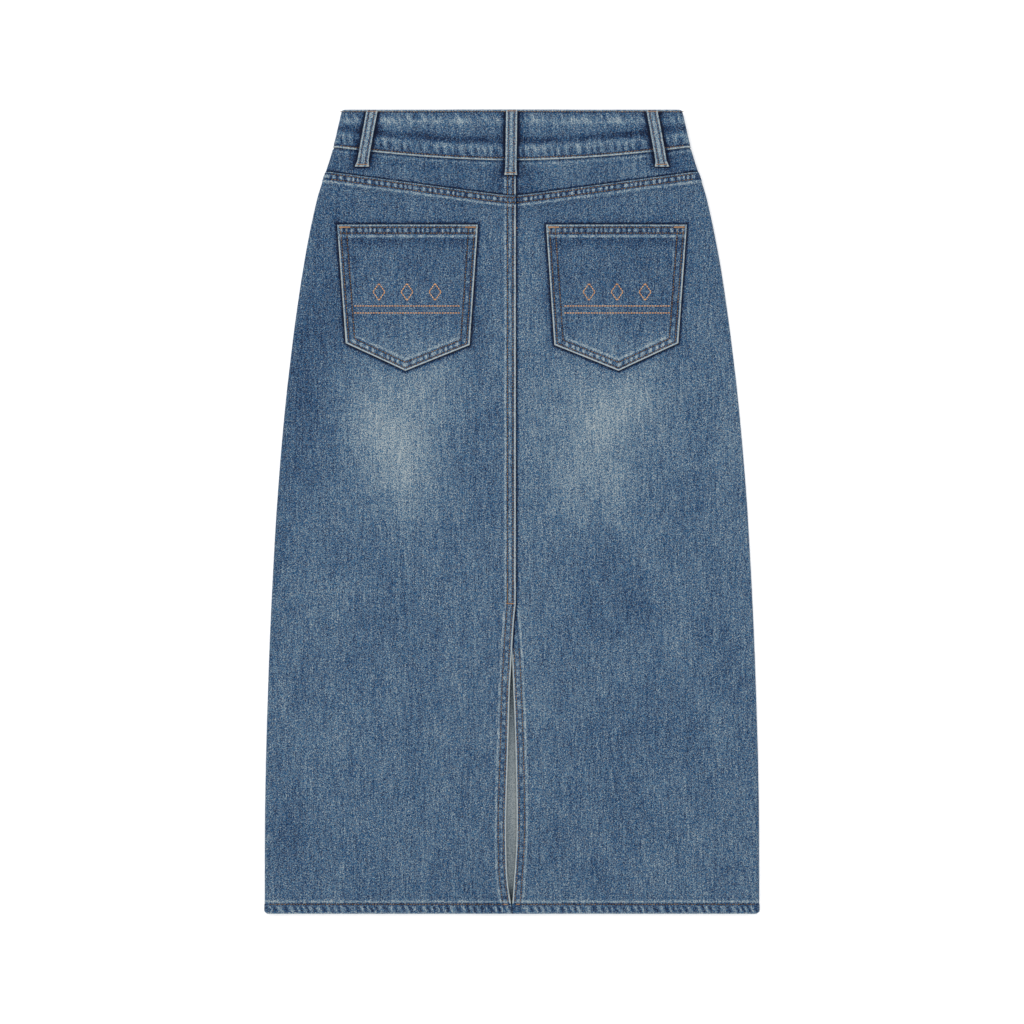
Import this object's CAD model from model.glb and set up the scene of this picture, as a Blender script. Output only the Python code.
import bpy
import numpy as np
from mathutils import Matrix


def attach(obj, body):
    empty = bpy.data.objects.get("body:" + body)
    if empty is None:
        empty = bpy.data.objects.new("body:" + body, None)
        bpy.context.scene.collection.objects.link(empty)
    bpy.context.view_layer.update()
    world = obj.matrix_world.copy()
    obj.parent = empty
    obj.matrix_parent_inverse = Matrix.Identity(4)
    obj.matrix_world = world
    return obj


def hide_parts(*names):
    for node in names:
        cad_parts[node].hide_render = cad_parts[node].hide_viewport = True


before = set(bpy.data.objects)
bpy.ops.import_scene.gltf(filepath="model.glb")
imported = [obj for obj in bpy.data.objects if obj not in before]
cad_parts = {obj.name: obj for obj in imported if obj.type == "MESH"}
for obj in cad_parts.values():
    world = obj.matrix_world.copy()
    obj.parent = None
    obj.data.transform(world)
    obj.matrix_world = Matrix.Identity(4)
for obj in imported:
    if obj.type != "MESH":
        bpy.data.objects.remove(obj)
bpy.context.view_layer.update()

# Front of the skirt
# Two long panels of washed indigo denim, face down on the table. The left one laps the right one down the
# centre front, the bottom is a turned and stitched hem, and a J of topstitching holds the fly. Lengths are
# in millimetres.
MM = 0.001
LENGTH = 804.0  # waist fold to hem fold
CLOTH = 1.2  # one layer
GAP = 0.3  # between sewn layers
LAYER = CLOTH + GAP
TURNED = 0.5  # what a turned-in edge adds
HEM_CORNER = 2.5
FRONT_LIFT, FRONT_LIFT_DOWN = 4.2, (40.0, 230.0)
SIDE_SOFT = 70.0
UNDERLAP, CLEAR, RAMP = 9.0, 1.5, 5.5
FRONT_EDGE, FRONT_UNDER = 3.0, -7.0
FLY_LEVEL, FLY_LAP = (44.0, 52.0), (54.0, 66.0)
BAND_FRONT = (37.9, 4.0)  # waistband's depth at the sides, and what the centre adds
BAND_HALF = 178  # half of its width, laid flat
# distance below the waist fold, half of the laid-out width
HALF_WIDTH = [
    (0, 170), (42, 180), (90, 195), (165, 210), (265, 223.5), (365, 233), (465, 239.3), (565, 243.7),
    (690, 247), (804, 247.5),
]
# soft rises of the back as it lies: x, distance down, half length, half width, turn in degrees, height
SOFT_FOLDS = [
    (-120, 330, 150, 26, 8, 0.8), (95, 350, 130, 30, -6, 0.6), (-45, 600, 170, 22, 4, 0.7),
    (60, 590, 190, 26, -5, 0.8), (165, 640, 140, 30, 3, 0.6), (-170, 620, 160, 28, -4, 0.9),
    (150, 180, 60, 24, 20, 0.5), (-110, 740, 60, 24, 0, 0.8), (110, 735, 70, 28, 2, 0.7),
]
# laundering over the body: x, distance down, half length, half width, turn in degrees, how much paler
BODY_WASH = [
    (-130, 318, 46, 26, 0, 0.17), (-104, 352, 48, 24, 0, 0.16), (-76, 272, 42, 24, 0, 0.11),
    (-112, 318, 105, 54, 0, 0.12), (108, 302, 62, 30, -40, 0.16), (62, 372, 34, 18, -8, 0.11),
    (106, 380, 32, 14, 8, 0.11), (66, 290, 42, 26, 0, 0.09), (98, 318, 105, 64, 0, 0.12),
    (18, 420, 260, 20, 0, 0.05), (-20, 520, 60, 40, 0, 0.04), (-210, 270, 150, 24, -8, -0.14),
    (-176, 210, 60, 16, 0, -0.07), (166, 190, 60, 16, 0, -0.08), (212, 330, 120, 26, 6, 0.04),
    (95, 437, 22, 20, 0, -0.07), (122, 492, 34, 26, 10, -0.06), (-128, 512, 30, 22, 0, -0.03),
    (-190, 485, 24, 22, 0, 0.05), (-176, 635, 34, 34, 0, 0.06), (-95, 738, 36, 44, 0, 0.04),
    (110, 690, 26, 24, 0, -0.05), (186, 738, 26, 22, 0, 0.03), (160, 528, 26, 18, 0, 0.04),
    (-222, 735, 40, 16, 0, -0.08), (0, 100, 22, 210, 0, -0.05), (-36, 218, 44, 9, 0, -0.07),
    (42, 218, 44, 9, 0, -0.06),
]


def smooth(t):
    """Goes from 0 to 1 with level ends: 3t squared minus 2t cubed."""
    t = np.clip(t, 0, 1)
    return t * t * (3 - 2 * t)


def bell(distance, width):
    """Bell curve: e to the power of minus the squared ratio of distance to width."""
    return np.exp(-((distance / width) ** 2))


def curve(rows, down):
    """Smooth curve through rows of (distance, value): cubic pieces with the slope of the neighbouring
    rows."""
    at, value = np.array(rows, float).T
    slope = np.gradient(value, at)
    slope[1:-1] = (value[2:] - value[:-2]) / (at[2:] - at[:-2])
    down = np.clip(down, at[0], at[-1])
    i = np.clip(np.searchsorted(at, down, side="right") - 1, 0, len(at) - 2)
    span = at[i + 1] - at[i]
    t = (down - at[i]) / span
    near = (2 * t**3 - 3 * t**2 + 1) * value[i] + (t**3 - 2 * t**2 + t) * span * slope[i]
    return near + (3 * t**2 - 2 * t**3) * value[i + 1] + (t**3 - t**2) * span * slope[i + 1]


def ovals(table, x, down):
    """Sum of soft ovals: each is its height times a bell of the squared distances along and across its
    axis."""
    total = 0
    for at_x, at_down, long, wide, turn, height in table:
        s, c = np.sin(np.radians(turn)), np.cos(np.radians(turn))
        along = ((x - at_x) * s + (down - at_down) * c) / long
        across = ((x - at_x) * c - (down - at_down) * s) / wide
        total = total + height * np.exp(-(along**2) - across**2)
    return total


def waist_share(down):
    """Share of a layer by which the panels are narrower, under the waistband and the yoke seam."""
    return smooth((84 - down) / 12)


def panel_half(down):
    """Half width of the panels: the outline's curve, drawn in at the hem's corners, and a layer narrower
    under the waistband and the yoke seam."""
    corner = np.clip((down - LENGTH + HEM_CORNER + 0.5) / HEM_CORNER, 0, 1)
    return curve(HALF_WIDTH, down) - HEM_CORNER * corner**2 - LAYER * waist_share(down)


def front_face(down):
    """Height of the front's outer face: on the table, then rising in an S towards the waist."""
    start, end = FRONT_LIFT_DOWN
    return FRONT_LIFT * smooth((end - down) / (end - start))


def inside_height(x, down):
    """Clear height between front and back: a base, raised at the centre, the sides, the waist and the
    soft folds."""
    waist = smooth((110 - down) / 55)
    side = smooth((np.abs(x) - (panel_half(down) - SIDE_SOFT)) / (SIDE_SOFT - 5))
    centre = smooth((46 - np.abs(x)) / 34)
    over_front = 2.6 + 0.9 * smooth((down - 700) / 80)
    low = 2.0 + (over_front - 2.0) * centre
    low = low + (2.4 - low) * side
    closure = 1.9 * smooth((92 - np.abs(x + 6)) / 62) * smooth((85 - down) / 40)
    free = (1 - side) * (1 - centre) * smooth((down - 100) / 60)
    return low + (3.4 - low) * waist + closure + free * ovals(SOFT_FOLDS, x, down)


def place(side, back, x, turn, down, lift):
    """Points in millimetres: flat at x, or at an angle round the side fold, both moved outwards by lift.

    The fold is a half circle whose radius is half of both layers and the height between them."""
    half = panel_half(down)
    radius = CLOTH + inside_height(half, down) / 2
    angle = np.nan_to_num(turn) * np.where(back, 1, -1)
    round_x = side * (half - radius + (radius + lift) * np.cos(angle))
    round_z = front_face(down) + radius + (radius + lift) * np.sin(angle)
    z = np.where(back, front_face(down) + 2 * CLOTH + inside_height(x, down) + lift, front_face(down) - lift)
    flat = np.isnan(turn) & (x == x)
    return np.stack([np.where(flat, x, round_x), LENGTH / 2 - down, np.where(flat, z, round_z)], -1)


def place_flat(side, back, x, down, lift):
    """Points as place gives them, all of them flat at x."""
    return place(side, back, x, np.full(np.shape(x), np.nan), down, lift)


def fuller_side(x, down, low):
    """Rise of the front and the yokes at the side fold between the waistband and the yoke seam, which
    makes up for the layer that panel_half leaves out there."""
    near_side = smooth((np.abs(x) - panel_half(down) + 16) / 12)
    return LAYER * 0.9 * near_side * waist_share(down) * smooth((down - low - 0.3) / 1.5)


def over_edge(past):
    """Share of a layer's thickness that a lapping piece has climbed, on a ramp that ends before the edge
    below it."""
    return smooth((past + CLEAR + RAMP) / RAMP)


def panel_grid(side, edge, near, across, turns, level):
    """Grid of a panel: columns at the distances near from its centre edge, then even to the side fold,
    then round the fold. level gives each row's distance down at x."""
    count = len(near)
    turn = np.full(count + across + turns, np.nan)
    turn[count + across :] = np.linspace(np.pi / 2, 0.02, turns + 1)[1:]
    share = np.concatenate([np.zeros(count), np.linspace(0, 1, across + 1)[1:], np.ones(turns)])
    offset = np.concatenate([near, np.full(across + turns, near[-1])])
    down = level(np.zeros((1, len(share))))
    for _ in range(4):
        half = panel_half(down)
        fold = side * (half - CLOTH - inside_height(half, down) / 2)
        start = edge(down) + side * offset
        x = start + (fold - start) * share
        down = level(x)
    return x, np.broadcast_to(turn, x.shape), down


# sines of an irregular wave: height, pace, shift for each step of the seed
WANDER_SINES = [(1.0, 1.0, 1.9), (0.7, 0.618, 4.1), (0.5, 1.47, 2.7)]


def wander(t, period, seed):
    """Irregular wave from 0 to 1: three sines whose periods don't divide each other, shifted by the seed."""
    a = 2 * np.pi * t / period
    wave = sum(height * np.sin(pace * a + shift * seed) for height, pace, shift in WANDER_SINES)
    return 0.5 + wave / 4.4


def pucker_phase(t, period, seed):
    """Phase of a row of puckers in radians: even steps whose spacing drifts with two slower sines."""
    a = 2 * np.pi * t / period
    return a + 1.3 * np.sin(a / 4.3 + seed) + 1.1 * np.sin(a / 7.9 + 2 * seed)


def puckers(t, period, seed):
    """Uneven row of narrow lumps from 0 to 1: a squared half cosine of the phase, each of another height."""
    crest = 0.5 + 0.5 * np.cos(pucker_phase(t, period, seed))
    return crest**2 * (0.45 + 0.55 * wander(t, 2.7 * period, seed + 3))


def turned_edge(d, t, fold, rows, lumps, ridge, period, seed, skew=0.0, groove=0.42):
    """Turned layer, relief, paleness, and strength and phase of the bars of a turned and stitched edge,
    at distance d from its fold and t along it.

    fold is (width, paleness), lumps (middle, half width, strength, paleness), ridge (distance, paleness).
    Each row of stitches pulls a narrow groove, darker by groove, and the ridge stands where the turned
    layer ends."""
    layer = 1 - smooth((d - ridge[0] + 1.2) / 1.6)
    grooves = sum(bell(d - row, 0.85) for row in rows)
    window = smooth((lumps[1] + 0.8 - np.abs(d - lumps[0])) / 1.6)
    t = t + skew * d
    bumps = puckers(t, period, seed) - 0.22
    edge_line = (1 - smooth((d - fold[0] + 0.4) / 0.8)) * (0.7 + 0.3 * wander(t, 7, seed))
    ridge_line = bell(d - ridge[0], 1.1) * (0.35 + 0.65 * wander(t, 1.7 * period, seed + 1))
    hollow = bell(d - ridge[0] - 3.2, 1.6)
    relief = 0.3 * bumps * window - 0.25 * grooves + 0.12 * ridge_line
    pale = fold[1] * edge_line + lumps[3] * window - groove * grooves + ridge[1] * ridge_line - 0.05 * hollow
    bars = lumps[2] * window * (0.55 + 0.45 * wander(t, 2.7 * period, seed + 3))
    return layer, relief, pale, bars, pucker_phase(t, period, seed) + 0 * d


def hem_share(hem_d):
    """Share of the hem's turned layer that thickens the cloth, at a distance from its fold."""
    return 1 - smooth((hem_d - 9.3) / 1.6)


def rounded(d, radius=0.85):
    """How far a fold's face has dropped at distance d from its edge: most of a quarter circle."""
    return 0.85 * radius * (1 - np.sqrt(1 - (1 - np.clip(d / radius, 0, 1)) ** 2))


def linear(code):
    """An sRGB hex colour as linear red, green, blue and alpha."""
    parts = np.array([int(code[i : i + 2], 16) / 255 for i in (1, 3, 5)])
    return (*np.where(parts <= 0.04045, parts / 12.92, ((parts + 0.055) / 1.055) ** 2.4), 1.0)


def add_node(tree, kind, inputs=None, **settings):
    """Adds one node with its settings; inputs maps a socket to a value or to the output that feeds it."""
    made = tree.nodes.new(kind)
    for key, value in settings.items():
        setattr(made, key, value)
    for socket, value in (inputs or {}).items():
        if isinstance(value, bpy.types.NodeSocket):
            tree.links.new(value, made.inputs[socket])
        else:
            made.inputs[socket].default_value = value
    return made


def attribute(tree, name):
    """Output of the point attribute of that name."""
    return add_node(tree, "ShaderNodeAttribute", attribute_name=name).outputs["Fac"]


def maths(tree, operation, *values):
    """Output of one step of arithmetic on numbers or outputs."""
    return add_node(tree, "ShaderNodeMath", dict(enumerate(values)), operation=operation).outputs[0]


# radians that keep the noise's own grid from lying flat in the cloth, where it would show as patches
NOISE_TURN = (0.62, 0.47, 0.35)


def noise(tree, where, scale, detail, roughness, shift=(0, 0, 0)):
    """Output of a noise whose cells are one metre by the scale along x, y and z."""
    mapping = {"Vector": where, "Scale": scale, "Location": shift, "Rotation": NOISE_TURN}
    at = add_node(tree, "ShaderNodeMapping", mapping).outputs["Vector"]
    grain = {"Vector": at, "Scale": 1.0, "Detail": detail, "Roughness": roughness}
    return add_node(tree, "ShaderNodeTexNoise", grain, noise_dimensions="3D").outputs["Fac"]


def shaded(name, layers, ramp_stops, tone, bump, fleck=0.0, hollow=0.0, **shader_values):
    """A material whose colour is a ramp of a tone: a middle value plus each noise layer times its share.

    layers holds (scale along x, y and z per metre, detail, share), bump the depth in metres, fleck how
    far the strength of the colour varies from yarn to yarn, and hollow how much darker it is against a
    covering edge. A cloth with hollow also has bars across its seams: the cosine of phase times bars."""
    material = bpy.data.materials.new(name)
    material.use_nodes = True
    tree = material.node_tree
    tree.nodes.clear()
    where = add_node(tree, "ShaderNodeTexCoord").outputs["Object"]
    middle = tone - 0.5 * sum(share for _, _, share in layers)
    total = maths(tree, "ADD", attribute(tree, "wash"), middle)
    if hollow:
        near = attribute(tree, "crease")
        span = {"Value": near, "From Min": 0.5, "From Max": 3.2, "To Min": 0.0, "To Max": -hollow}
        dark = add_node(tree, "ShaderNodeMapRange", span, interpolation_type="SMOOTHSTEP").outputs["Result"]
        total = maths(tree, "ADD", total, dark)
        wave = maths(tree, "MULTIPLY_ADD", maths(tree, "COSINE", attribute(tree, "phase")), 0.5, 0.07)
        total = maths(tree, "MULTIPLY_ADD", wave, attribute(tree, "bars"), total)
    height = None
    for scale, detail, share in layers:
        value = noise(tree, where, scale, detail, 0.6)
        height = height or value
        total = maths(tree, "MULTIPLY_ADD", value, share, total)
    ramp = add_node(tree, "ShaderNodeValToRGB", {"Fac": total})
    while len(ramp.color_ramp.elements) < len(ramp_stops):
        ramp.color_ramp.elements.new(0.5)
    for stop, (position, code) in zip(ramp.color_ramp.elements, ramp_stops):
        stop.position = position
        stop.color = linear(code)
    colour = ramp.outputs["Color"]
    if fleck:
        value = noise(tree, where, (1130, 930, 1130), 1.0, 0.5, (5, 3, 1))
        strength = maths(tree, "MULTIPLY_ADD", value, fleck, 1 - fleck / 2)
        faded = {"Color": colour, "Saturation": strength}
        colour = add_node(tree, "ShaderNodeHueSaturation", faded).outputs["Color"]
    bumps = {"Strength": 0.5, "Distance": bump, "Height": height}
    normal = add_node(tree, "ShaderNodeBump", bumps).outputs["Normal"]
    inputs = {"Base Color": colour, "Normal": normal}
    inputs.update({key.replace("_", " "): value for key, value in shader_values.items()})
    shader = add_node(tree, "ShaderNodeBsdfPrincipled", inputs)
    add_node(tree, "ShaderNodeOutputMaterial", {"Surface": shader.outputs["BSDF"]})
    return material


# Indigo denim, ring-dyed cotton twill, stone washed: the white core of the yarn shows where the dye is
# rubbed off. The layers are yarn grain (0.4 mm apart in the cloth, drawn at 0.8 mm so that it shows at a
# millimetre a pixel), warp yarns 1.25 mm wide and 22 mm long, slubs 5 mm wide and 55 mm long, and blotches
# of the laundering.
denim_face = shaded(
    "washed indigo denim twill",
    [
        ((1250, 1050, 1250), 1.0, 2.3), ((800, 45, 800), 1.0, 0.52), ((210, 18, 210), 1.0, 0.12),
        ((25, 14, 25), 3.0, 0.25),
    ],
    [
        (0.0, "#06122a"), (0.25, "#1e3656"), (0.46, "#385475"), (0.62, "#4f6c82"), (0.78, "#6c808c"),
        (1.0, "#a2aaac"),
    ],
    tone=0.46, bump=0.0003, fleck=2.2, hollow=0.48,
    Roughness=0.92, Specular_IOR_Level=0.2, Sheen_Weight=0.05,
)
# Its wrong side shows mostly the undyed weft, so it is a pale grey blue.
denim_wrong_side = shaded(
    "denim wrong side, undyed weft",
    [((1250, 1050, 1250), 1.0, 1.6), ((240, 14, 240), 2.0, 0.2)],
    [(0.0, "#1f2a33"), (0.5, "#6a767e"), (1.0, "#a2a6a3")],
    tone=0.5, bump=0.0003, Roughness=0.95, Specular_IOR_Level=0.2,
)
# Topstitching thread: tan polyester wrapped with cotton, worn to brown in places.
tan_thread = shaded(
    "tan topstitching thread",
    [((160, 160, 160), 2.0, 1.3)],
    [(0.2, "#30271c"), (0.5, "#6b553b"), (0.8, "#97795a")],
    tone=0.5, bump=0.0001, Roughness=0.7, Specular_IOR_Level=0.3,
)
# Bar tacks are of fresher, brighter thread.
orange_thread = shaded(
    "orange bar tack thread",
    [((160, 160, 160), 2.0, 0.8)],
    [(0.2, "#775539"), (0.5, "#a47c58"), (0.8, "#c8a27c")],
    tone=0.5, bump=0.0001, Roughness=0.65, Specular_IOR_Level=0.3,
)
# The pockets' decorative rows are of a thicker, paler thread.
pale_thread = shaded(
    "pale orange embroidery thread",
    [((160, 160, 160), 2.0, 0.8)],
    [(0.2, "#ad7c4e"), (0.5, "#d8a06c"), (0.8, "#f0c392")],
    tone=0.5, bump=0.0001, Roughness=0.65, Specular_IOR_Level=0.3,
)


def add_piece(name, points, faces, materials, which=None, worn=None):
    """A mesh object from points in millimetres that rides on the one body and takes the slot's finish."""
    mesh = bpy.data.meshes.new(name)
    corners = [face for block in faces for face in block.tolist()]
    mesh.from_pydata((np.asarray(points) * MM).tolist(), [], corners)
    for material in materials:
        mesh.materials.append(material)
    if which is not None:
        mesh.polygons.foreach_set("material_index", which)
        for key, values in worn.items():
            mesh.attributes.new(key, "FLOAT", "POINT").data.foreach_set("value", values.astype(np.float32))
    mesh.polygons.foreach_set("use_smooth", np.ones(len(mesh.polygons), bool))
    mesh.update()
    piece = bpy.data.objects.new(name, mesh)
    bpy.context.collection.objects.link(piece)
    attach(piece, "root")
    return piece


def cloth(
    name, outer, inner, wash, node, flat, rests_on, area=None, slot="indigo_denim", inside=None, **worn
):
    """One closed wall of cloth from an outer and an inner grid of points, joined round their rim, as a
    laid sheet.

    wash is the outer face's paleness and inside the inner one's. worn may hold crease, how close the
    outer face lies to a covering edge, and bars and phase, the strength and place of the puckers' light
    and dark bars."""
    rows, columns = outer.shape[:2]
    points = np.concatenate([outer.reshape(-1, 3), inner.reshape(-1, 3)])
    index = np.arange(rows * columns).reshape(rows, columns)
    face = np.stack([index[:-1, :-1], index[1:, :-1], index[1:, 1:], index[:-1, 1:]], -1).reshape(-1, 4)
    loop = np.concatenate([index[:, 0], index[-1, 1:], index[-2::-1, -1], index[0, -2:0:-1]])
    after = np.roll(loop, -1)
    rim = np.stack([after, loop, loop + rows * columns, after + rows * columns], -1)
    faces = np.concatenate([face, rim, face[:, ::-1] + rows * columns])
    corner = points[faces]
    twice = np.cross(corner[:, 2] - corner[:, 0], corner[:, 3] - corner[:, 1])
    if np.einsum("ij,ij->", corner.mean(1), twice) < 0:
        faces = faces[:, ::-1]
    which = np.repeat([0, 1], [len(face) + len(rim), len(face)])
    worn = {key: np.concatenate([values.ravel(), 0 * values.ravel()]) for key, values in worn.items()}
    worn["wash"] = np.concatenate([wash.ravel(), (wash if inside is None else inside).ravel()])
    piece = add_piece(name, points, [faces], [denim_face, denim_wrong_side], which, worn)
    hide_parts(node)


def along(line, pitch=2.9, length=2.2):
    """Ends of the stitches of a row: even steps along a line of points, each a little shorter than its
    step."""
    reach = np.concatenate([[0], np.cumsum(np.linalg.norm(np.diff(line, axis=0), axis=1))])
    count = max(int(reach[-1] / pitch), 1)
    middle = (np.arange(count) + 0.5) * reach[-1] / count
    start, end = middle - length / 2, middle + length / 2
    return [np.stack([np.interp(at, reach, line[:, k]) for k in range(3)], -1) for at in (start, end)]


def across(line, width=1.5, pitch=0.62):
    """Ends of the dense crosswise stitches of a bar tack laid along a line."""
    start, end = along(line, pitch, 0.1)
    way = (end - start) / np.linalg.norm(end - start, axis=1)[:, None]
    sideways = np.stack([-way[:, 1], way[:, 0], 0 * way[:, 0]], -1) * width / 2
    return [(start + end) / 2 - sideways, (start + end) / 2 + sideways]


def sew(name, runs, material, radius=0.45, up=1):
    """A piece of thread: each stitch is a six-sided bow from its start to its end, with both tips sunk in
    the cloth."""
    start = np.concatenate([run[0] for run in runs])
    end = np.concatenate([run[1] for run in runs])
    way = end - start
    length = np.linalg.norm(way, axis=1, keepdims=True)
    way = way / length
    side = np.cross([0, 0, up], way)
    side = side / np.linalg.norm(side, axis=1, keepdims=True)
    top = np.cross(way, side)
    angle = np.arange(6) * np.pi / 3
    # rings of a stitch: share of its length, share of its radius, rise in mm
    rings = [(0.1, 0.75, -0.05), (0.5, 1.0, 0.1), (0.9, 0.75, -0.05)]
    points = [start - top * 0.3]
    for share, size, rise in rings:
        centre = start + way * length * share + top * rise
        for a in angle:
            points.append(centre + radius * size * (np.cos(a) * side + np.sin(a) * top))
    points.append(end - top * 0.3)
    points = np.stack(points, 1)
    ring = np.arange(6)
    nxt = (ring + 1) % 6
    first = np.stack([0 * ring, 1 + nxt, 1 + ring], -1)
    last = np.stack([0 * ring + 19, 13 + ring, 13 + nxt], -1)
    caps = np.concatenate([first, last])
    tube = np.concatenate([np.stack([k + ring, k + nxt, k + 6 + nxt, k + 6 + ring], -1) for k in (1, 7)])
    step = np.arange(len(start))[:, None, None] * 20
    blocks = [(caps + step).reshape(-1, 3), (tube + step).reshape(-1, 4)]
    return add_piece(name, points.reshape(-1, 3), blocks, [material])


# distances from an edge at which its cloth has rows of points
EDGE_STEPS = [
    0, 0.15, 0.4, 0.75, 1.15, 1.6, 2.1, 2.7, 3.4, 4.2, 5.1, 6.0, 6.8, 7.6, 8.3, 9.0, 9.7, 10.4, 11.2, 12.2,
    13.6, 15.6,
]
HEM = {
    "fold": (1.3, 0.28), "rows": (9.6,), "lumps": (4.7, 2.9, 0.62, -0.06),
    "ridge": (12.4, 0.46), "period": 7.9, "skew": 0.45,
}
FLY = {
    "fold": (1.0, 0.35), "rows": (2.2, 8.2), "lumps": (5.2, 1.6, 0.35, 0.0), "ridge": (10.2, 0.25),
    "period": 8.4,
}


def band_down(x, band):
    """Lower edge of the waistband: its depth at the side fold, and a rise towards the centre by a power
    curve."""
    return band[0] + band[1] * (1 - np.minimum(1, np.abs(x) / BAND_HALF) ** 1.7)


def fly_right(down):
    """Centre edge of the right front: beside the left one at the waistband, reaching under it below."""
    beside = FRONT_EDGE + GAP
    return beside + (FRONT_UNDER - beside) * smooth((down - FLY_LAP[0]) / (FLY_LAP[1] - FLY_LAP[0]))


def level_rows(line, tops, middle_step, band_end=330.0):
    """Rows of a panel: close together at the top line and the hem, even between; the top ones follow the
    line."""
    start = float(line(0.0))
    tops = start + np.asarray(tops)
    even = np.arange(tops[-1] + middle_step, LENGTH - 17, middle_step)
    downs = np.concatenate([tops, even, LENGTH - np.array(EDGE_STEPS[::-1])])
    follow = np.clip((band_end - downs) / (band_end - tops[-1]), 0, 1) ** 1.5
    return lambda x: downs[:, None] + (line(x) - start) * follow[:, None]


def front_form(side, x, down):
    """Lifts and paleness of a front panel: the right one steps inwards under the left one, the hem is
    turned."""
    hem_d = LENGTH - down
    _, hem_relief, hem_pale, bars, phase = turned_edge(hem_d, x, seed=5, **HEM)
    hem = hem_share(hem_d)
    past = over_edge(FRONT_EDGE - x) if side > 0 else 0 * x
    step = smooth((down - FLY_LEVEL[0]) / (FLY_LEVEL[1] - FLY_LEVEL[0]))
    raised = -(LAYER * step + TURNED * hem) * past
    relief, pale = hem_relief, hem_pale
    if side < 0:
        below = smooth((down - 46) / 6)
        fly = turned_edge(FRONT_EDGE - x, down, seed=9, **FLY)
        relief = relief + below * fly[1]
        pale = pale + below * fly[2]
        phase = np.where(below * fly[3] > bars, fly[4], phase)
        bars = np.maximum(bars, below * fly[3])
    raised = raised + fuller_side(x, down, band_down(x, BAND_FRONT))
    fold = np.minimum(hem_d, FRONT_EDGE - x if side < 0 else 9.0)
    outer = raised + np.minimum(relief, 0) - rounded(fold)
    inner = raised - CLOTH - TURNED * hem + rounded(fold)
    return outer, inner, pale + 0.8 * ovals(BODY_WASH, x, down), {"bars": bars, "phase": phase}


front_level = level_rows(lambda x: band_down(x, BAND_FRONT) - UNDERLAP + 1, np.arange(0, 40, 3.0), 5.0)
front_near = [0, 0.4, 1, 2, 3, 4.5, 6, 7.5, 8.6, 10, 11.6, 13.3, 15.2, 17]
fronts = ((-1, "front_panel_left", lambda down: FRONT_EDGE + 0 * down), (1, "front_panel_right", fly_right))
for side, node, edge in fronts:
    x, turn, down = panel_grid(side, edge, front_near, 46, 6, front_level)
    outer, inner, wash, worn = front_form(side, x, down)
    walls = [place(side, False, x, turn, down, lift) for lift in (outer, inner)]
    # its wrong side shows through the slit, most faded below the middle of the slit
    inside = wash - 0.55 * smooth((650 - down) / 110) - 0.6 * smooth((down - 770) / 22)
    inside = inside + 0.01 * np.clip(x, -9, 9) + 0.1 * bell(down - 690, 55)
    cloth(node + "_cloth", *walls, wash, node, (0.253, 0.776), ["floor"], area=0.181, inside=inside, **worn)


def on_front(side, x, down, sink=0.15):
    """Points on a front panel's outer face, sunk so far that thread there stays off the table."""
    return place_flat(side, False, x, down, front_form(side, x, down)[0] - sink)


t = np.linspace(0, 1, 200)
front_runs = [along(on_front(-1, 0 * t + FRONT_EDGE - row, 48 + 740 * t)) for row in FLY["rows"]]
for offset in (0, 6.3):
    bend = (FRONT_EDGE + 36 - offset) * (1 - np.cos(t * np.pi / 2))
    fly_x = np.concatenate([0 * t - 36 + offset, -36 + offset + bend])
    fly_down = np.concatenate([44 + 90 * t, 134 + (44 - offset) * np.sin(t * np.pi / 2)])
    front_runs.append(along(on_front(-1, fly_x[:-8], fly_down[:-8])))
for side in (-1, 1):
    x = side * (8 + 232 * t)
    front_runs.append(along(on_front(side, x, 0 * t + LENGTH - HEM["rows"][0])))
sew("front_topstitching", front_runs, tan_thread, radius=0.3, up=-1)

# Back of the skirt
# Two long panels of the same denim. The left one's folded edge laps the right one down the centre back under
# two rows of stitching; both are felled over the yokes, hemmed, and turned back along the open slit.
BACK_EDGE = 3.8
BACK_UNDER = BACK_EDGE - UNDERLAP - CLEAR
YOKE_CENTRE, YOKE_SLOPE, YOKE_ROUND = 86.1, 0.134, 5.0
SLIT_TOP = 494.0
# distance down, left folded edge, right folded edge
SLIT_EDGES = [
    (SLIT_TOP, 3.8, -5.5), (508, 2.2, -3.5), (537, 0.2, -0.9), (556, -0.8, 0.3), (578, -2.1, 1.2),
    (627, -3.4, 3.1), (700, -5.6, 4.5), (735, -5.7, 4.2), (770, -4.4, 2.0), (792, -1.3, 0.4),
    (797, -0.5, 0.1), (LENGTH, -0.4, 0.1),
]
CENTRE = {
    "fold": (1.6, 0.66), "rows": (2.9, 8.3), "lumps": (6.0, 1.0, 0.3, 0.14),
    "ridge": (10.4, 0.5), "period": 8.0,
}
YOKE_SEAM = {
    "fold": (1.2, 0.28), "rows": (1.9, 7.1), "lumps": (4.5, 2.0, 0.85, 0.0),
    "ridge": (9.8, 0.48), "period": 5.9,
}
SLIT = {
    "fold": (1.2, 0.95), "rows": (2.7, 8.0), "lumps": (5.2, 1.5, 0.4, 0.0),
    "ridge": (10.4, 0.42), "period": 8.5, "groove": 0.2,
}
# loop centre at the waist fold, at its lower end, and how far down it ends
LOOPS = {"centre": (-0.3, -1.2, 65.4), "left": (-139.5, -149.9, 57.0), "right": (139.5, 149.9, 57.0)}

CREASE_REACH = 4.0  # how far from a covering edge the cloth is darker
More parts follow.
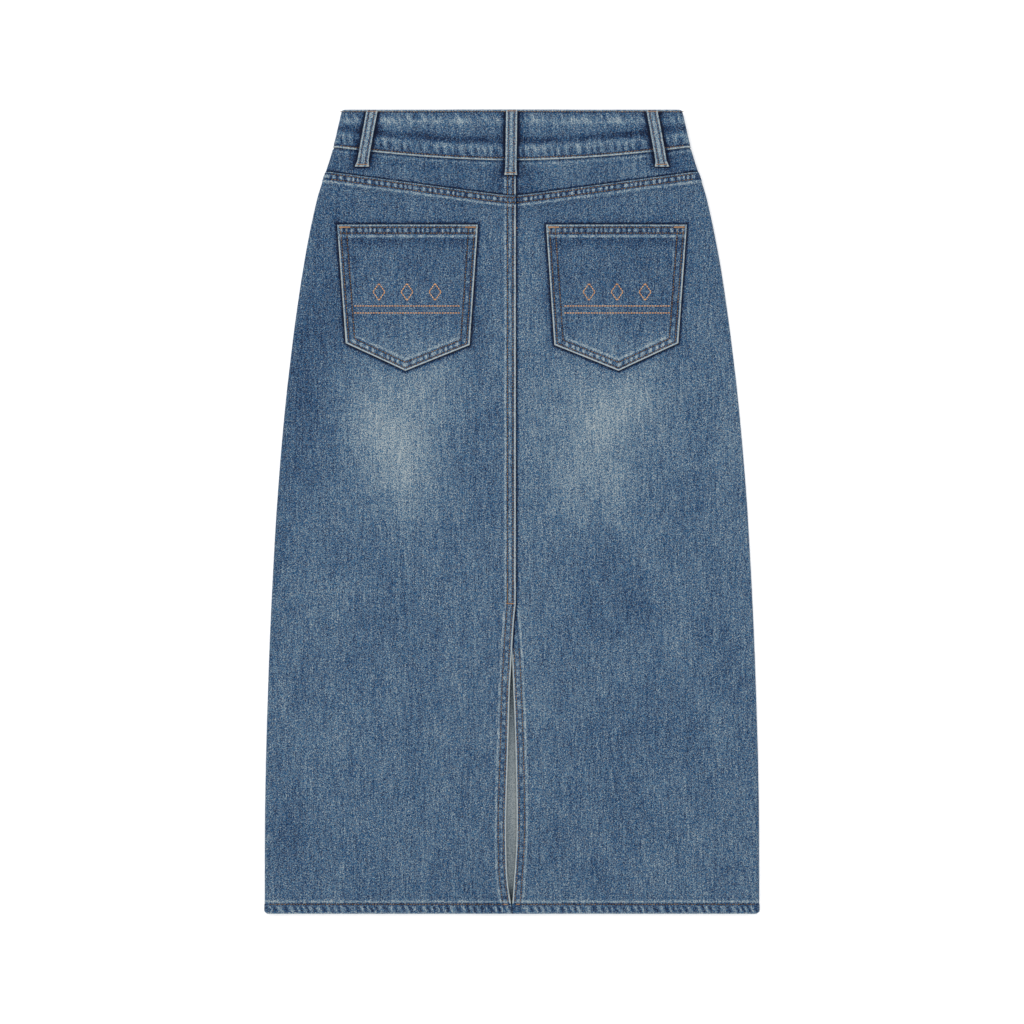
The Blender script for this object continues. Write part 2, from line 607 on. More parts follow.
# corners of a pocket, as x and distance down: at the mouth, at the foot, and the point
POCKET_TOP = 114.8
POCKET_TIP = (106.6, 260.8)
POCKET_INNER, POCKET_OUTER = ((34.0, POCKET_TOP), (42.4, 235.0)), ((174.8, POCKET_TOP), (166.2, 233.2))
POCKET_EDGES = {
    "mouth": (POCKET_INNER[0], POCKET_OUTER[0]),
    "inner": POCKET_INNER,
    "outer": POCKET_OUTER,
    "foot_in": (POCKET_INNER[1], POCKET_TIP),
    "foot_out": (POCKET_TIP, POCKET_OUTER[1]),
}


def yoke_down(x):
    """Yoke seam: a straight slope up to each side, rounded at the centre like a hyperbola."""
    return YOKE_CENTRE + YOKE_ROUND * YOKE_SLOPE - YOKE_SLOPE * np.hypot(x, YOKE_ROUND)


def slit_left(down):
    """Folded edge of the left back: the centre seam, then the slit's curve."""
    return np.where(down < SLIT_TOP, BACK_EDGE, curve([(d, a) for d, a, b in SLIT_EDGES], down))


def slit_right(down):
    """Edge of the right back: hidden under the left one, then the slit's curve."""
    return np.where(down < SLIT_TOP, BACK_UNDER, curve([(d, b) for d, a, b in SLIT_EDGES], down))


def over_centre(x, down):
    """Share of a layer by which left pieces are raised over the right back, down to where the slit opens."""
    past = x - slit_right(down) + 3.5 * smooth((down - SLIT_TOP + 6) / 12)
    return over_edge(past) * smooth((610 - down) / 70)


def over_yoke(x, down):
    """Share of a layer by which the panels are raised over the yokes."""
    return over_edge(yoke_down(x) + UNDERLAP - down)


def ripples(x, down):
    """Shallow unevenness of the cloth as it lies, in millimetres: waves along its length, crossed by
    others."""
    long_waves = wander(x + 0.12 * down, 47, 1) + wander(x - 0.2 * down, 81, 3)
    cross_waves = wander(down + 0.3 * x, 63, 6) + wander(down - 0.4 * x, 110, 8)
    return 0.12 * (long_waves - 1) + 0.1 * (cross_waves - 1)


def beside_loops(x, down):
    """Unfaded cloth beside the loops that hang over the waist: paleness of a dark halo that ends below
    each loop, and the crease along its edges."""
    halo, crease = 0 * x * down, 0 * x * down
    for top_x, low_x, end in LOOPS.values():
        past = np.maximum(0, np.abs(x - top_x - (low_x - top_x) * down / end) - 5.5)
        halo = halo - 0.24 * bell(past, 7.5) * smooth((end + 6 - down) / 6)
        crease = np.maximum(crease, (CREASE_REACH + 0.6 - past) * smooth((end + 2.5 - down) / 3))
    return halo, crease


def from_line(x, down, a, b):
    """Distance of points from the line through a and b, positive to the side of the pocket's middle."""
    (ax, ad), (bx, bd) = a, b
    length = np.hypot(bx - ax, bd - ad)
    cross = ((bx - ax) * (down - ad) - (bd - ad) * (x - ax)) / length
    return cross * np.sign((bx - ax) * (180 - ad) - (bd - ad) * (105 - ax))


def round_pocket(x, down):
    """Crease round a pocket's outline: the reach less the distance outside it, and a faint halo beyond."""
    inwards = [from_line(np.abs(x), down, *ends) for ends in POCKET_EDGES.values()]
    past = np.maximum(0, -np.minimum.reduce(inwards))
    return CREASE_REACH - past, -0.1 * bell(past, 5)


def centre_strip(d, down):
    """Turned strip along the left pieces' folded edge: the lapped seam, and the turned edge of the slit
    below it."""
    opened = smooth((down - SLIT_TOP - 2) / 6)
    seam = turned_edge(d, down, seed=2, **CENTRE)
    slit = turned_edge(d, down, seed=6, **SLIT)
    return [a + (b - a) * opened for a, b in zip(seam, slit)]


def back_form(side, x, down):
    """Lifts and paleness of a back panel: laps over the yoke, the other panel and turned edges, plus
    their relief."""
    hem_d = LENGTH - down
    yoke_d = down - yoke_down(x)
    yoke = over_yoke(x, down)
    felled = list(turned_edge(yoke_d, x, seed=1, **YOKE_SEAM))
    hem = list(turned_edge(hem_d, x, seed=7, **HEM))
    hem_layer = hem_share(hem_d)
    if side < 0:
        centre = over_centre(x, down)
        raised = LAYER * (centre * (1 + yoke) + yoke)
        edge_d = slit_left(down) - x
        strip = centre_strip(edge_d, down)
        shown = 1.0
        clear = smooth((yoke_d - 9) / 2)
        crease = 0 * x
    else:
        raised = LAYER * yoke
        below = smooth((down - SLIT_TOP - 1) / 8)
        edge_d = np.where(down < 530, 9.0, x - slit_right(down))
        strip = [part * below for part in turned_edge(x - slit_right(down), down, seed=8, **SLIT)]
        seam_shown = smooth((x - slit_left(np.minimum(down, SLIT_TOP)) - 0.5) / 1.5)
        slit_shown = smooth((slit_right(down) - slit_left(down) - 0.5) / 1.5)
        shown = np.maximum(seam_shown, slit_shown)
        strip[0] = strip[0] * slit_shown
        clear = 1.0
        closed = smooth((566 - down) / 40) + smooth((down - 794) / 4)
        crease = (CREASE_REACH - np.maximum(0, x - slit_left(down))) * closed
    turned = np.maximum.reduce([felled[0] * shown, hem_layer * shown, strip[0]])
    relief = (felled[1] + hem[1]) * shown + strip[1] * clear + ripples(x, down)
    pocket, halo = round_pocket(x, down)
    felled[3] = felled[3] * shown
    hem[3] = hem[3] * shown
    strip[3] = strip[3] * clear * smooth((hem_d - 11) / 2)
    strip[2] = strip[2] * (1 - 0.75 * smooth((down - 791) / 5))
    bars = felled[3] + hem[3] + strip[3]
    phase = np.where(strip[3] > felled[3] + hem[3], strip[4], np.where(down < 300, felled[4], hem[4]))
    worn = {"crease": np.maximum(crease, pocket), "bars": bars, "phase": phase}
    pale = felled[2] + hem[2] + strip[2] * clear + halo + ovals(BODY_WASH, x, down)
    fold = rounded(np.minimum(edge_d, np.minimum(yoke_d, hem_d)))
    outer = raised + TURNED * turned + relief - fold
    inner = raised + ripples(x, down) - CLOTH - TURNED * hem_layer + fold
    return outer, inner, pale, worn


back_level = level_rows(yoke_down, EDGE_STEPS, 2.75)
for side, node, edge in ((-1, "back_panel_left", slit_left), (1, "back_panel_right", slit_right)):
    x, turn, down = panel_grid(side, edge, EDGE_STEPS + [17.6], 80, 8, back_level)
    outer, inner, wash, worn = back_form(side, x, down)
    walls = [place(side, True, x, turn, down, lift) for lift in (outer, inner)]
    under = ["front_panel_left", "front_panel_right"]
    cloth(node + "_cloth", *walls, wash, node, (0.256, 0.744), under, area=0.176, **worn)


def on_back(side, x, down, form, above=0.12):
    """Points on a back piece's outer face, with thread half sunk in it."""
    return place_flat(side, True, x, down, form(side, x, down)[0] + above)


back_runs, back_tacks = [], []
t = np.linspace(0, 1, 400)
for row in CENTRE["rows"]:
    down = YOKE_CENTRE + 2 + (SLIT_TOP - YOKE_CENTRE - 3) * t
    back_runs.append(along(on_back(-1, 0 * t + BACK_EDGE - row, down, back_form)))
for row in SLIT["rows"]:
    down = SLIT_TOP + 2 + (LENGTH - SLIT_TOP - 14) * t
    back_runs.append(along(on_back(-1, slit_left(down) - row, down, back_form)))
    down = SLIT_TOP + 44 + (LENGTH - SLIT_TOP - 56) * t
    back_runs.append(along(on_back(1, slit_right(down) + row, down, back_form)))
for row in YOKE_SEAM["rows"]:
    for side, start, end in ((-1, -3.4, 181), (1, 4.4, 181)):
        x = side * (start + (end - start) * t)
        back_runs.append(along(on_back(side, x, yoke_down(x) + row, back_form)))
for side in (-1, 1):
    x = side * (3 + 240 * t)
    back_runs.append(along(on_back(side, x, 0 * t + LENGTH - HEM["rows"][0], back_form)))
# tacks: across the top of the slit, down its second row, on the first row, on the hem's rows and in the seam
t = np.linspace(0, 1, 12)
row_1, row_2 = (0 * t + BACK_EDGE - row for row in CENTRE["rows"])
back_tacks.append(across(on_back(-1, -5.6 + 7.2 * t, 0 * t + SLIT_TOP - 0.4, back_form, 0.2), 1.3))
back_runs.append(across(on_back(-1, row_2, SLIT_TOP - 21 + 20 * t, back_form, 0.15), 1.1))
back_tacks.append(across(on_back(-1, row_1, SLIT_TOP - 24 + 2.4 * t, back_form, 0.15), 1.0))
for side, tack_x in ((-1, -8.5), (1, 4.2)):
    down = 0 * t + LENGTH - HEM["rows"][0]
    back_tacks.append(across(on_back(side, tack_x + 3.4 * t, down, back_form, 0.2), 1.3))
back_tacks.append(across(on_back(1, 0 * t + BACK_EDGE + 1.1, 117 + 2 * t, back_form, 0.1), 0.9))
sew("back_topstitching", back_runs, tan_thread)
sew("back_bar_tacks", back_tacks, orange_thread, radius=0.36)

# Yokes
# Two shallow shaped pieces between the waistband and the back panels, with the centre seam running on
# through them. Their upper edges are sewn into the waistband, and the panels are felled over their lower
# ones.
BAND_BACK = (37.9, 13.0)
# laundering of the yokes: x, distance down, half length, half width, turn, how much paler
YOKE_WASH = [
    (-120, 70, 12, 30, 0, 0.05), (118, 68, 12, 26, 0, 0.05), (-60, 78, 12, 40, 0, -0.03),
    (50, 66, 14, 26, 0, 0.04), (-16, 72, 18, 10, 0, -0.08), (16, 72, 18, 10, 0, -0.12),
    (-182, 60, 22, 12, 0, -0.08), (184, 62, 22, 12, 0, -0.06),
]


def yoke_form(side, x, down):
    """Lifts and paleness of a yoke: the left one is raised over the right one at the centre; below the
    waistband it has a dark crease and then a worn line."""
    below_band = down - band_down(x, BAND_BACK)
    halo, crease = beside_loops(x, down)
    worn = 0.28 * bell(below_band - 3.4, 1.2) * (0.4 + 0.6 * wander(x, 14, 4))
    pale = ovals(YOKE_WASH, x, down) + worn + halo - 0.2 * bell(below_band - 0.9, 0.9) - 0.06
    seam_crease = CREASE_REACH - 1.3 * np.maximum(0, yoke_down(x) - down)
    crease = np.maximum(crease, seam_crease)
    raised = fuller_side(x, down, band_down(x, BAND_BACK)) * smooth((yoke_down(x) - down - 0.3) / 1.5)
    turned, relief, edge_d = 0 * x, 0 * x, 9.0 + 0 * x
    if side < 0:
        edge_d = BACK_EDGE - x
        raised = raised + LAYER * over_centre(x, down) * (1 + over_edge(down - yoke_down(x)))
        strip = centre_strip(edge_d, down)
        turned, relief = strip[0] * smooth((below_band + 1) / 2), strip[1] * smooth((below_band + 1) / 2)
        pale = pale + strip[2]
    else:
        crease = np.maximum(crease, CREASE_REACH - np.maximum(0, x - BACK_EDGE))
    fold = rounded(edge_d)
    outer = raised + TURNED * turned * smooth((yoke_down(x) - 3 - down) / 3) + np.minimum(relief, 0.1) - fold
    bars, phase = (strip[3], strip[4]) if side < 0 else (0 * x, 0 * x)
    worn = {"crease": crease, "bars": bars, "phase": phase}
    return outer, raised - CLOTH + fold, pale, worn


YOKE_ROWS = np.concatenate([np.linspace(0, 0.16, 5), np.linspace(0.18, 0.34, 9), np.linspace(0.37, 1, 20)])


def yoke_level(x):
    """Rows of a yoke: shares of the way from inside the waistband to under the panel."""
    top = band_down(x, BAND_BACK) - UNDERLAP + 1
    return top + (yoke_down(x) + UNDERLAP - top) * YOKE_ROWS[:, None]


t = np.linspace(0, 1, 60)
yoke_runs = []
for side, name, edge_x in ((-1, "left", BACK_EDGE), (1, "right", BACK_UNDER)):
    x, turn, down = panel_grid(side, lambda down: edge_x + 0 * down, EDGE_STEPS + [17.6], 64, 6, yoke_level)
    outer, inner, wash, worn = yoke_form(side, x, down)
    walls = [place(side, True, x, turn, down, lift) for lift in (outer, inner)]
    node = "back_yoke_" + name
    cloth(node + "_cloth", *walls, wash, node, (0.2, 0.062), ["front_panel_" + name], area=0.0102, **worn)
for row in CENTRE["rows"]:
    line = on_back(-1, 0 * t + BACK_EDGE - row, 50.5 + (YOKE_CENTRE - 51) * t, yoke_form)
    yoke_runs.append(along(line))
sew("yoke_topstitching", yoke_runs, tan_thread)

# Waistband
# One strip of denim folded double over the top edges and carried round the waist, meeting at the centre
# front. It is topstitched along its fold and its lower edge, which pulls the cloth there into small slanting
# puckers.
BAND_LIFT = LAYER  # outer face above the panels' outer face
BAND_CORE = -0.6  # middle of the fold round the top
FOLD_OUTER, FOLD_INNER = 2.1, 0.9
BAND_ROW, TOP_ROW = 2.5, 2.0
to_left = np.linspace(3 / BAND_HALF, -1, 60)[:-1]
to_right = np.linspace(1, 3.3 / BAND_HALF, 60)[1:]
band_share = np.concatenate([to_left, -np.ones(9), np.linspace(-1, 1, 190)[1:-1], np.ones(9), to_right])
band_turn = np.full(len(band_share), np.nan)
band_turn[59:68] = np.linspace(-np.pi / 2, np.pi / 2, 9)
band_turn[256:265] = np.linspace(np.pi / 2, -np.pi / 2, 9)
band_is_back = np.arange(len(band_share))
band_is_back = (band_is_back >= 59) & (band_is_back < 265)


def band_form(x, up, down):
    """Relief and paleness of the waistband at a distance up from its lower edge and down from its fold."""
    low_puckers = puckers(x + 0.15 * up, 8.3, 11) - 0.3
    top_puckers = puckers(x - 0.5 * down, 9.5, 12) - 0.3
    low_window = smooth((up - 3.2) / 2) * smooth((15 - up) / 5)
    top_window = smooth((down - 3) / 2) * smooth((14 - down) / 5)
    rows = bell(up - BAND_ROW, 0.8) + bell(down - TOP_ROW, 0.8)
    relief = 0.35 * low_puckers * low_window + 0.2 * top_puckers * top_window - 0.25 * rows
    past_edge = (up - 0.9 - 0.5 * puckers(x, 6.3, 5)) / 0.8
    edge_line = 0.72 * (1 - smooth(past_edge)) * (0.6 + 0.4 * wander(x, 8, 3))
    fold_line = 0.3 * bell(down - 0.2, 0.9)
    pale = edge_line + fold_line - 0.4 * rows
    pale = pale + 0.3 * low_puckers * low_window + 0.3 * top_puckers * top_window
    upper_band = bell(down - 10.5 - 2 * wander(x, 31, 2), 3.2) * (0.1 + 1.1 * wander(x, 38, 5))
    lower_band = bell(up - 13.5 + 2 * wander(x, 27, 4), 3.2) * (0.3 + 0.9 * wander(x, 47, 6))
    trough = bell(up - 21 + 3 * wander(x, 36, 8), 3.6) * (0.5 + 0.8 * wander(x + 2 * up, 52, 7))
    slants = puckers(x - 0.9 * down, 6.1, 15) * bell(down - 13, 8)
    pale = pale + 0.28 * upper_band + 0.22 * lower_band - 0.3 * trough + 0.2 * slants - 0.05
    halo, crease = beside_loops(x, down)
    bars = 0.26 * low_window * (0.2 + 0.8 * wander(x, 29, 6))
    worn = {"halo": halo, "crease": crease, "bars": bars, "phase": pucker_phase(x + 0.15 * up, 8.3, 11)}
    return relief, pale, worn


def seam_rise(x, up, low):
    """Rise of the waistband over the yokes' centre seam, from its lower edge to the middle of its height."""
    over_seam = LAYER * smooth((x + 13.7) / RAMP) * over_edge(BACK_EDGE + 1 - x)
    return over_seam * (1 - smooth((up - UNDERLAP) / (low / 2 - UNDERLAP)))


x = BAND_HALF * band_share
low = np.where(band_is_back, band_down(x, BAND_BACK), band_down(x, BAND_FRONT))
up = np.array(EDGE_STEPS)[:, None] + 0 * low
rest = EDGE_STEPS[-1] + np.linspace(0, 1, 16)[1:, None] * (low - FOLD_OUTER - EDGE_STEPS[-1])
up = np.concatenate([up, rest])
rise = seam_rise(x, up, low) * band_is_back
half = panel_half(low - up)
relief, wash, worn = band_form(band_share * (half - CLOTH - inside_height(half, low - up) / 2), up, low - up)
angle = np.linspace(0, np.pi, 10)[1:-1, None]
inside_down = FOLD_OUTER + np.linspace(0, 1, 14)[:, None] * (low - FOLD_OUTER)
band_walls = []
for radius, depth, sign in ((FOLD_OUTER, 0.0, 1), (FOLD_INNER, -CLOTH, -1)):
    outside = BAND_LIFT + depth + rise + (relief if sign > 0 else 0) - sign * rounded(up)
    downs = np.concatenate([low - up, FOLD_OUTER - radius * np.sin(angle) + 0 * low, inside_down])
    fold_lift = BAND_CORE + radius * np.cos(angle) + 0 * low
    lifts = np.concatenate([outside, fold_lift, BAND_CORE - radius + 0 * inside_down])
    half = panel_half(downs)
    bend_x = half - CLOTH - inside_height(half, downs) / 2
    turns = np.broadcast_to(band_turn, downs.shape)
    band_walls.append(place(np.sign(band_share), band_is_back, band_share * bend_x, turns, downs, lifts))
fold_wash = 0.3 * bell(angle, 1.2) + 0 * low
wash = np.concatenate([wash, fold_wash, 0 * inside_down + 0 * low])
no_wear = np.zeros((len(fold_wash) + len(inside_down), len(band_share)))
worn = {key: np.concatenate([values * band_is_back, no_wear]) for key, values in worn.items()}
wash = wash + worn.pop("halo")
under = ["front_panel_left", "front_panel_right"]
cloth("waistband_cloth", *band_walls, wash, "waistband", (0.112, 0.7), under, area=0.07, **worn)


def on_band(x, up, above=0.12):
    """Points on the waistband's outer face over the back, measured up from its lower edge."""
    low = band_down(x, BAND_BACK)
    lift = BAND_LIFT + seam_rise(x, up, low) + band_form(x, up, low - up)[0]
    return place_flat(1, True, x, low - up, lift + above)


t = np.linspace(0, 1, 400)
x = -172 + 344 * t
top_row = band_down(x, BAND_BACK) - TOP_ROW - 0.2
band_runs = [along(on_band(x, 0 * t + BAND_ROW), 3.0), along(on_band(x, top_row), 3.0)]
sew("waistband_topstitching", band_runs, tan_thread)

# Back pockets
# Two pointed patch pockets with a turned hem at the mouth and two rows of stitching round the other edges.
# Two straight decorative rows with small lozenges above them stand in for the maker's own embroidery.
POCKET_MOUTH = {
    "fold": (1.5, 0.48), "rows": (2.8, 8.5), "lumps": (5.7, 2.0, 0.8, 0.0),
    "ridge": (11.6, 0.62), "period": 5.9,
}
POCKET_SIDE = {
    "fold": (1.3, 0.85), "rows": (3.2, 9.1), "lumps": (6.3, 1.4, 0.3, 0.0),
    "ridge": (11.0, 0.15), "period": 11.0,
}
POCKET_FOOT = {
    "fold": (1.3, 0.85), "rows": (2.6, 7.8), "lumps": (5.1, 1.9, 0.7, 0.03),
    "ridge": (10.6, 0.42), "period": 6.6,
}


def pocket_form(x, down):
    """Lifts and paleness of a pocket on its right-hand side of the skirt: the nearest edges give their
    strips."""
    d = {key: from_line(x, down, *ends) for key, ends in POCKET_EDGES.items()}
    mouth_d = down - POCKET_TOP
    side_d = np.minimum(d["inner"], d["outer"])
    foot_d = np.minimum(d["foot_in"], d["foot_out"])
    mouth = turned_edge(mouth_d, x, seed=3, **POCKET_MOUTH)
    sides = turned_edge(side_d, down, seed=4, **POCKET_SIDE)
    foot = turned_edge(foot_d, x, seed=5, **POCKET_FOOT)
    near_foot = smooth((side_d - foot_d + 2) / 4)
    below_hem = smooth((mouth_d - 10.5) / 1.5)
    strip = [a + (b - a) * near_foot for a, b in zip(sides[:4], foot[:4])]
    line = 1 - smooth((side_d - 1.2) / 0.8)
    relief = mouth[1] + strip[1] * below_hem
    pale = mouth[2] * (1 - line) + strip[2] * below_hem + 0.46 * line * (1 - below_hem)
    wide = (x - 34) / 141
    off = 0.9 * np.sin(np.pi * np.clip(wide, 0, 1)) * np.clip(1 - mouth_d / 146, 0, 1) ** 1.5
    fold = rounded(np.minimum(mouth_d, np.minimum(side_d, foot_d)))
    base = GAP + off
    pale = pale - 0.06 - 0.1 * bell(mouth_d - 17, 5) + 0.12 * smooth((down - 205) / 40)
    turned = np.maximum(mouth[0], strip[0])
    mouth_bars, strip_bars = mouth[3] * smooth((side_d - 1) / 1), strip[3] * below_hem
    phase = np.where(mouth_bars > strip_bars, mouth[4], np.where(near_foot > 0.5, foot[4], sides[4]))
    worn = {"bars": mouth_bars + strip_bars, "phase": phase}
    return base + CLOTH + TURNED * turned + relief - fold, base + fold, pale, worn


pocket_near = np.array(EDGE_STEPS)
(inner_x, inner_down), (outer_x, outer_down) = POCKET_INNER[1], POCKET_OUTER[1]
inner_to_tip = pocket_near[-1] + np.linspace(0, 1, 36)[1:] * (POCKET_TIP[0] - inner_x - pocket_near[-1])
outer_to_tip = pocket_near[-1] + np.linspace(0, 1, 34)[1:-1] * (outer_x - POCKET_TIP[0] - pocket_near[-1])
from_outer = outer_x - inner_x - np.concatenate([pocket_near, outer_to_tip])[::-1]
pocket_x = inner_x + np.concatenate([pocket_near, inner_to_tip, from_outer])[None, :]
foot_line = np.interp(pocket_x, [inner_x, POCKET_TIP[0], outer_x], [inner_down, POCKET_TIP[1], outer_down])
side_length = inner_down - POCKET_TOP
between = np.linspace(pocket_near[-1], side_length - pocket_near[-1], 38)[1:-1]
pocket_rows = np.concatenate([pocket_near, between, side_length - pocket_near[::-1]])[:, None]
foot_share = smooth((pocket_rows - 16) / (side_length - 32))
down = POCKET_TOP + pocket_rows + foot_share * (foot_line - inner_down)
slant = (down - POCKET_TOP) / side_length
width_share = (pocket_x - inner_x) / (outer_x - inner_x)
left_x = POCKET_INNER[0][0] + (inner_x - POCKET_INNER[0][0]) * slant
right_x = POCKET_OUTER[0][0] + (outer_x - POCKET_OUTER[0][0]) * slant
x = left_x + (right_x - left_x) * width_share
outer, inner, wash, worn = pocket_form(x, down)


def on_pocket(side, x, down, above=0.12):
    """Points on a pocket's outer face; x is given for the right-hand pocket, side -1 mirrors it."""
    lift = pocket_form(x, down)[0] + ripples(side * x, down)
    return place_flat(side, True, side * x, down, lift + above)


def inside_line(a, b, d, start, end, count=120):
    """Points along the line from a to b, moved inwards by d and running from start to end millimetres
    along it."""
    a, b = np.array(a, float), np.array(b, float)
    way = (b - a) / np.linalg.norm(b - a)
    inwards = np.array([-way[1], way[0]])
    inwards = inwards * np.sign(inwards @ (np.array([105.0, 180.0]) - a))
    s = np.linspace(start, np.linalg.norm(b - a) + end, count)
    return (a + inwards * d)[:, None] + way[:, None] * s


for side, name in ((-1, "left"), (1, "right")):
    soft = ripples(side * x, down)
    walls = [place_flat(side, True, side * x, down, lift + soft) for lift in (outer, inner)]
    pale = wash + 0.5 * ovals(BODY_WASH, side * x, down)
    node = "back_pocket_" + name
    cloth(node + "_cloth", *walls, pale, node, (0.141, 0.146), ["back_panel_" + name], area=0.0182, **worn)
    runs = []
    for row in POCKET_MOUTH["rows"]:
        runs.append(along(on_pocket(side, np.linspace(36, 172.6, 200), np.full(200, POCKET_TOP + row))))
    for key in ("inner", "outer"):
        for row, foot_row in zip(POCKET_SIDE["rows"], POCKET_FOOT["rows"]):
            line = inside_line(*POCKET_EDGES[key], row, 3, -0.55 * foot_row)
            runs.append(along(on_pocket(side, *line)))
    for row in POCKET_FOOT["rows"]:
        for key, start, end in (("foot_in", 0.75, -0.42), ("foot_out", 0.42, -0.75)):
            line = inside_line(*POCKET_EDGES[key], row, start * row, end * row)
            runs.append(along(on_pocket(side, *line)))
    sew("back_pocket_" + name + "_topstitching", runs, tan_thread)
    tacks = []
    for tack_x in (36.0, 161.6):
        tack = on_pocket(side, tack_x + np.linspace(0, 11, 20), np.full(20, POCKET_TOP + 2.6), 0.25)
        tacks.append(across(tack, 1.7))
    # decorative rows
    fancy = []
    for row_down in (196.0, 203.0):
        line = on_pocket(side, np.linspace(52, 158, 200), np.full(200, row_down), 0.2)
        fancy.append(along(line, 2.6))
    for middle in (77.0, 105.0, 133.0):
        corner_x = middle + np.array([0, 6, 0, -6, 0])
        corner_down = 182 + np.array([-8.5, 0, 8.5, 0, -8.5])
        s = np.linspace(0, 4, 81)
        line_x = np.interp(s, np.arange(5), corner_x)
        line_down = np.interp(s, np.arange(5), corner_down)
        fancy.append(along(on_pocket(side, line_x, line_down, 0.2), 2.6))
    sew("back_pocket_" + name + "_bar_tacks", tacks, orange_thread, radius=0.42)
    sew("back_pocket_" + name + "_decorative_stitching", fancy, pale_thread, radius=0.5)

# Belt loops
# Five narrow strips folded in three with two rows of stitching, tacked at the waist fold and below the
# waistband. The pressed edges and the middle have worn pale, and the lower ends spread a little where they
# are turned under.
LOOP_WIDTH, LOOP_THICK, LOOP_BOW = 11.4, 1.8, 1.2
LOOP_ROWS = 2.7
# side, base lift over the waistband and below it, loop centre at top and foot, end, bow, spread at the foot
LOOP_TABLE = [
    ("back_centre", True, 3.0, 1.5, *LOOPS["centre"], LOOP_BOW, 0.7),
    ("back_left", True, 1.5, 0.0, *LOOPS["left"], LOOP_BOW, 1.4),
    ("back_right", True, 1.5, 0.0, *LOOPS["right"], LOOP_BOW, 1.4),
    ("front_left", False, 1.5, 0.0, -84.0, -89.0, 55.0, 0.6, 1.0),
    ("front_right", False, 1.5, 0.0, 84.0, 89.0, 55.0, 0.6, 1.0),
]
loop_runs, loop_tacks, front_loop_runs, front_loop_tacks = [], [], [], []
for name, back, step_top, step_low, top_x, low_x, end, bow, spread in LOOP_TABLE:
    band = BAND_BACK if back else BAND_FRONT
    steps = np.array([0, 0.15, 0.4, 0.8, 1.4, 2.2, 3.2, 4.5])
    between = np.linspace(4.5, end - 5.2, 52)[:-1]
    rows = 0.7 + np.concatenate([steps[:-1], between, (end - 0.7 - steps)[::-1]])
    c = np.array([-1, -0.97, -0.92, -0.85, -0.76, -0.66, -0.56, -0.47, -0.38, -0.25, 0])
    c = np.concatenate([c, -c[-2::-1]])

    def loop_points(c, down, outer, above=0.0):
        """Points of a loop at share c of its half width and at a distance down, on its outer or its inner
        face."""
        half = LOOP_WIDTH / 2 + spread * smooth((down - end + 7) / 7)
        middle = top_x + (low_x - top_x) * down / end
        low = band_down(middle, band)
        step = step_top + (step_low - step_top) * smooth((down - low - 1) / (end - 5 - low))
        rise = bow * np.clip(np.sin(np.pi * np.clip((down - 3) / (end - 7), 0, 1)), 0, 1) ** 0.8
        lift = step + GAP + rise
        if outer:
            edge = (1 - np.abs(c)) * half
            rows_pull = bell(np.abs(c) * half - LOOP_ROWS, 0.6)
            crown = 0.12 * puckers(down + 3 * c, 6.0, 3)
            ends = rounded(down - 0.7, 0.7) + rounded(end - down, 0.9)
            lift = lift + LOOP_THICK - 0.3 * rows_pull + crown - rounded(edge, 1.2) * 0.8 - ends * 0.6
        return place_flat(1, back, middle + c * half, down, lift + above)

    grid_c, grid_down = np.meshgrid(c, rows)
    across_mm = np.abs(grid_c) * LOOP_WIDTH / 2
    pale = 0.55 * bell(across_mm - 4.8, 0.75) * (0.7 + 0.3 * wander(grid_down, 7, 2))
    pale = pale + 0.27 * np.exp(-((across_mm / 1.7) ** 4)) * (0.6 + 0.5 * wander(grid_down, 9, 5))
    pale = pale - 0.36 * bell(across_mm - LOOP_ROWS, 0.7) - 0.2 * smooth((across_mm - 5.2) / 0.5)
    pale = pale + 0.4 * (1 - smooth((end - grid_down - 0.8) / 0.8)) + 0.1
    if not back:
        pale = pale - 0.1
    outer = loop_points(grid_c, grid_down, True)
    inner = loop_points(grid_c, grid_down, False)
    node, flat_size = "loop_" + name, (0.0114, end * MM + 0.001)
    cloth(node + "_cloth", outer, inner, pale, node, flat_size, ["waistband"], slot="denim_loops")
    t = np.linspace(0, 1, 60)
    runs, tacks = (loop_runs, loop_tacks) if back else (front_loop_runs, front_loop_tacks)
    above = 0.1 if back else -0.1
    for c_row in (-LOOP_ROWS, LOOP_ROWS):
        line = loop_points(0 * t + c_row / (LOOP_WIDTH / 2), 2.5 + (end - 5.5) * t, True, above)
        runs.append(along(line, 2.7, 2.1))
    for tack_down in (2.0, end - 2.1):
        tacks.append(across(loop_points(-0.8 + 1.6 * t, 0 * t + tack_down, True, above + 0.1), 1.1))
sew("back_loop_topstitching", loop_runs, tan_thread, radius=0.32)
sew("back_loop_bar_tacks", loop_tacks, orange_thread, radius=0.3)
sew("front_loop_topstitching", front_loop_runs, tan_thread, radius=0.3, up=-1)
sew("front_loop_bar_tacks", front_loop_tacks, orange_thread, radius=0.3, up=-1)

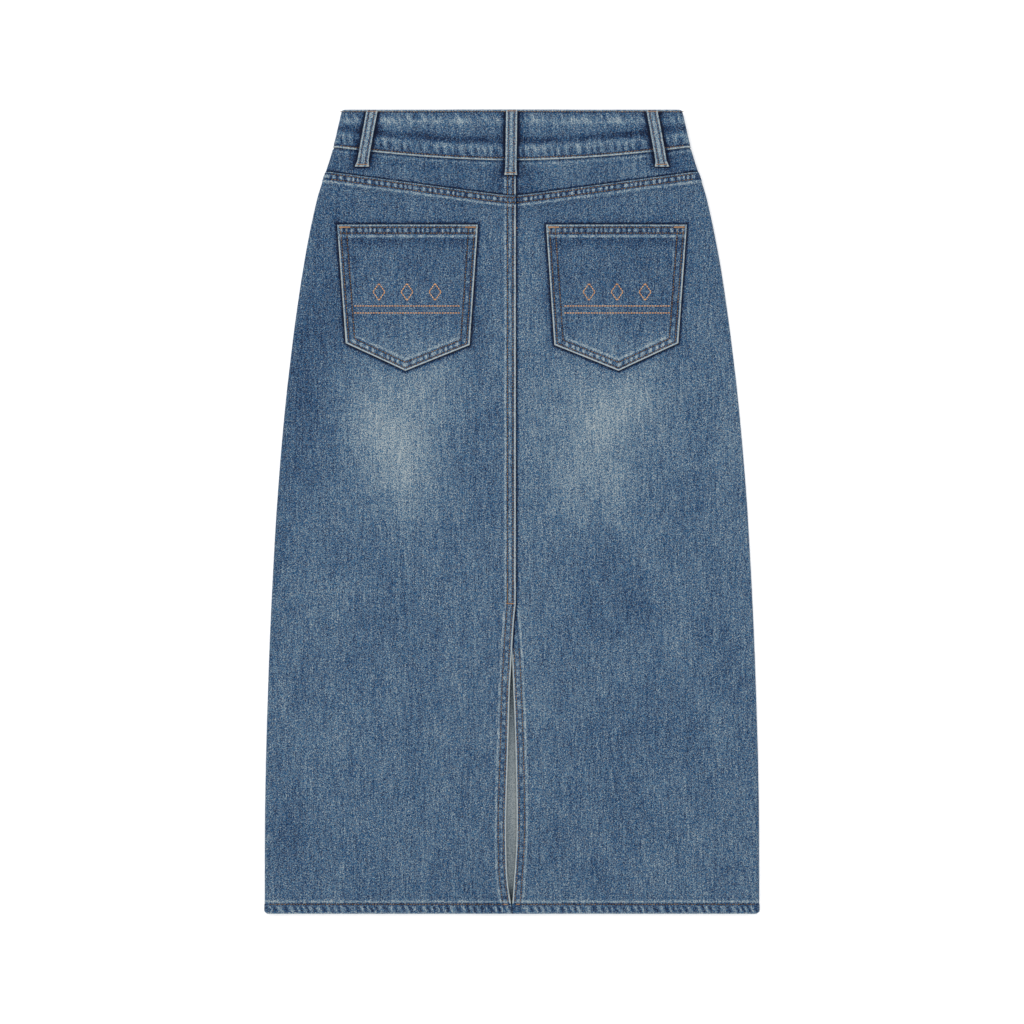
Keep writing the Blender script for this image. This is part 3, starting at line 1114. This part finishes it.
# Closure
# A round brass button on the waistband at the centre front, a cloth stand behind it and a brass zip inside
# the fly. All are under the skirt as it lies, so they are plain.
brass = shaded(
    "aged brass",
    [((900, 900, 900), 3.0, 0.5), ((120, 120, 120), 2.0, 0.4)],
    [(0.2, "#5e4a2c"), (0.5, "#94743f"), (0.8, "#b99a5e")],
    tone=0.5, bump=0.00005, Roughness=0.38, Metallic=0.95,
)
for node in ("waist_button", "fly_zip"):
    solid = bpy.data.objects[node]
    solid.data.materials.clear()
    solid.data.materials.append(brass)
stand_x, stand_down = np.meshgrid(np.linspace(-27, 12, 16), np.linspace(4, 38, 14))
stand = [place_flat(1, False, stand_x, stand_down, lift + 0 * stand_x) for lift in (-3.0, -4.2)]
cloth("button_stand_cloth", *stand, 0 * stand_x, "button_stand", (0.039, 0.034), ["waistband"])

# Table, light and camera
# The skirt lies on a plain white table under a broad soft light, seen from straight above as in the photo.
floor_mesh = bpy.data.meshes.new("floor")
floor_corners = [(x, y, -0.0004) for x, y in ((-4, -4), (4, -4), (4, 4), (-4, 4))]
floor_mesh.from_pydata(floor_corners, [], [(0, 1, 2, 3)])
table = bpy.data.materials.new("matt white table")
table.use_nodes = True
paint = table.node_tree.nodes["Principled BSDF"].inputs
paint["Base Color"].default_value = linear("#fdfdfd")
paint["Roughness"].default_value = 0.9
paint["Specular IOR Level"].default_value = 0.1
paint["Emission Color"].default_value = linear("#ffffff")
paint["Emission Strength"].default_value = 0.18
floor_mesh.materials.append(table)
floor = bpy.data.objects.new("floor", floor_mesh)
bpy.context.collection.objects.link(floor)

world = bpy.data.worlds.new("soft room")
bpy.context.scene.world = world
world.use_nodes = True
world.node_tree.nodes["Background"].inputs["Color"].default_value = (1, 1, 1, 1)
world.node_tree.nodes["Background"].inputs["Strength"].default_value = 0.92
# name, place in metres, size, watts
for name, at, size, power in (("window", (-0.9, 1.3, 1.9), 1.0, 13), ("ceiling", (0.3, 0.1, 2.6), 2.4, 12)):
    lamp = bpy.data.lights.new(name, "AREA")
    lamp.size = size
    lamp.energy = power
    light = bpy.data.objects.new(name, lamp)
    light.location = at
    direction = np.array(at) / np.linalg.norm(at)
    light.rotation_euler = (np.arccos(direction[2]), 0, np.arctan2(direction[1], direction[0]) + np.pi / 2)
    bpy.context.collection.objects.link(light)

CAMERA_HEIGHT = 4.0
VIEW_WIDTH = 1.024  # a millimetre a pixel at the cloth
lens = bpy.data.cameras.new("camera")
lens.sensor_width = 36
lens.lens = lens.sensor_width * (CAMERA_HEIGHT - 0.006) / VIEW_WIDTH
camera = bpy.data.objects.new("camera", lens)
camera.location = (0, 0, CAMERA_HEIGHT)
bpy.context.collection.objects.link(camera)
bpy.context.scene.camera = camera
bpy.context.scene.view_settings.view_transform = "Standard"

bpy.context.view_layer.update()
